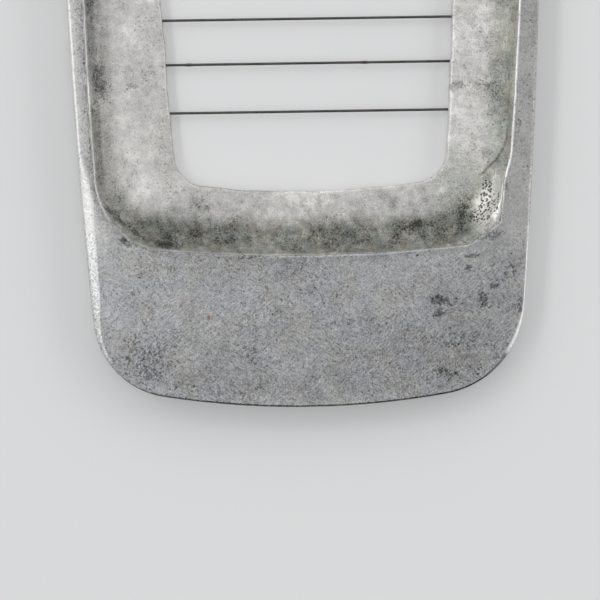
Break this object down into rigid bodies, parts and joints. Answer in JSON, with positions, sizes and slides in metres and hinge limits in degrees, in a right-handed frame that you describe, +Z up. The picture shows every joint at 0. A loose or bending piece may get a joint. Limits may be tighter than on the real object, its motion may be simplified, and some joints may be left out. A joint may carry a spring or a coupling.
{
  "type": "wire butter slicer",
  "caption": "Hand-held cast aluminium frame strung with taut steel wires, pressed down over a stick of butter to cut it into even pats.",
  "frame": {"origin": "middle of the frame's underside", "axes": "+X across the frame to its wider rim's side as seen from above, +Y along the frame away from the near tab, +Z up from the face it is laid on"},
  "size_m": [0.0718, 0.1986, 0.005],
  "materials": {
    "cast_aluminium": "sand-cast flange, ground and brushed rim and tabs, dull with handling",
    "wire_steel": "drawn, darkened with age",
    "pin_steel": "plain drive pins, dull"
  },
  "bodies": {
    "root": {"frame": "cast_aluminium", "wire_01": "wire_steel", "wire_02": "wire_steel", "wire_03": "wire_steel", "wire_04": "wire_steel", "wire_05": "wire_steel", "wire_06": "wire_steel", "wire_07": "wire_steel", "wire_08": "wire_steel", "wire_09": "wire_steel", "wire_10": "wire_steel", "wire_11": "wire_steel", "wire_12": "wire_steel", "wire_13": "wire_steel", "wire_14": "wire_steel", "wire_15": "wire_steel", "wire_16": "wire_steel", "wire_17": "wire_steel", "left_anchor_pins": "pin_steel", "right_anchor_pins": "pin_steel"}
  },
  "joints": []
}
